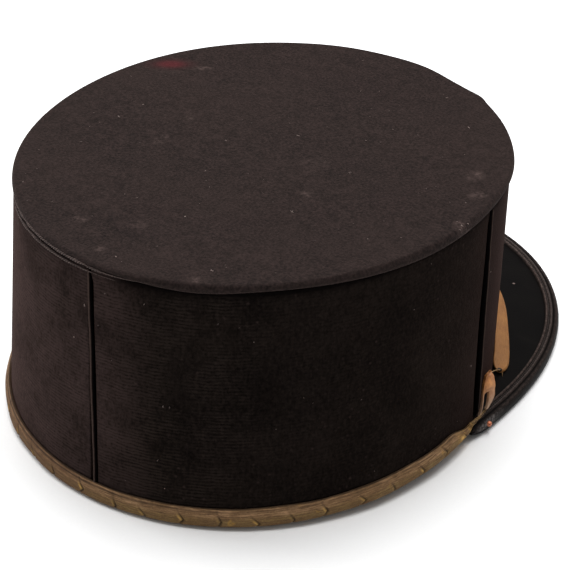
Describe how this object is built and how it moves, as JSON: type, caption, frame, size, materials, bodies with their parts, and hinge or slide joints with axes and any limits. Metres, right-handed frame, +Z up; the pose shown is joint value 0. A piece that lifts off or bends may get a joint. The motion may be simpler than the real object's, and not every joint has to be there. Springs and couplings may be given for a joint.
{
  "type": "kepi cap",
  "caption": "Stiff black cloth kepi cap with a flat oval crown, welted seams, a brown edge binding, a bound leather peak and a tan chin strap.",
  "frame": {"origin": "bottom centre of the bounding box, on the table that the cap stands on", "axes": "+Z up, -Y to the cap's front, +X to the wearer's left"},
  "size_m": [0.1816, 0.2452, 0.097],
  "materials": {
    "crown_cloth": "worn black wool cloth, browned, with lint",
    "wall_cloth": "black ribbed wool cloth",
    "binding_leather": "brown worn edge binding, tarnished, with stitches",
    "peak_leather": "black smooth leather, dull gloss",
    "strap_leather": "bare tan leather",
    "copper": "worn copper"
  },
  "bodies": {
    "root": {"crown_top": "crown_cloth", "front_panel": "wall_cloth", "left_panel": "wall_cloth", "right_panel": "wall_cloth", "rear_welt": "wall_cloth", "left_welt": "wall_cloth", "right_welt": "wall_cloth", "edge_binding": "binding_leather", "peak": "peak_leather", "peak_binding": "peak_leather", "chin_strap": "strap_leather", "left_strap_tab": "strap_leather", "right_strap_tab": "strap_leather", "left_rivet": "copper", "right_rivet": "copper"}
  },
  "joints": []
}
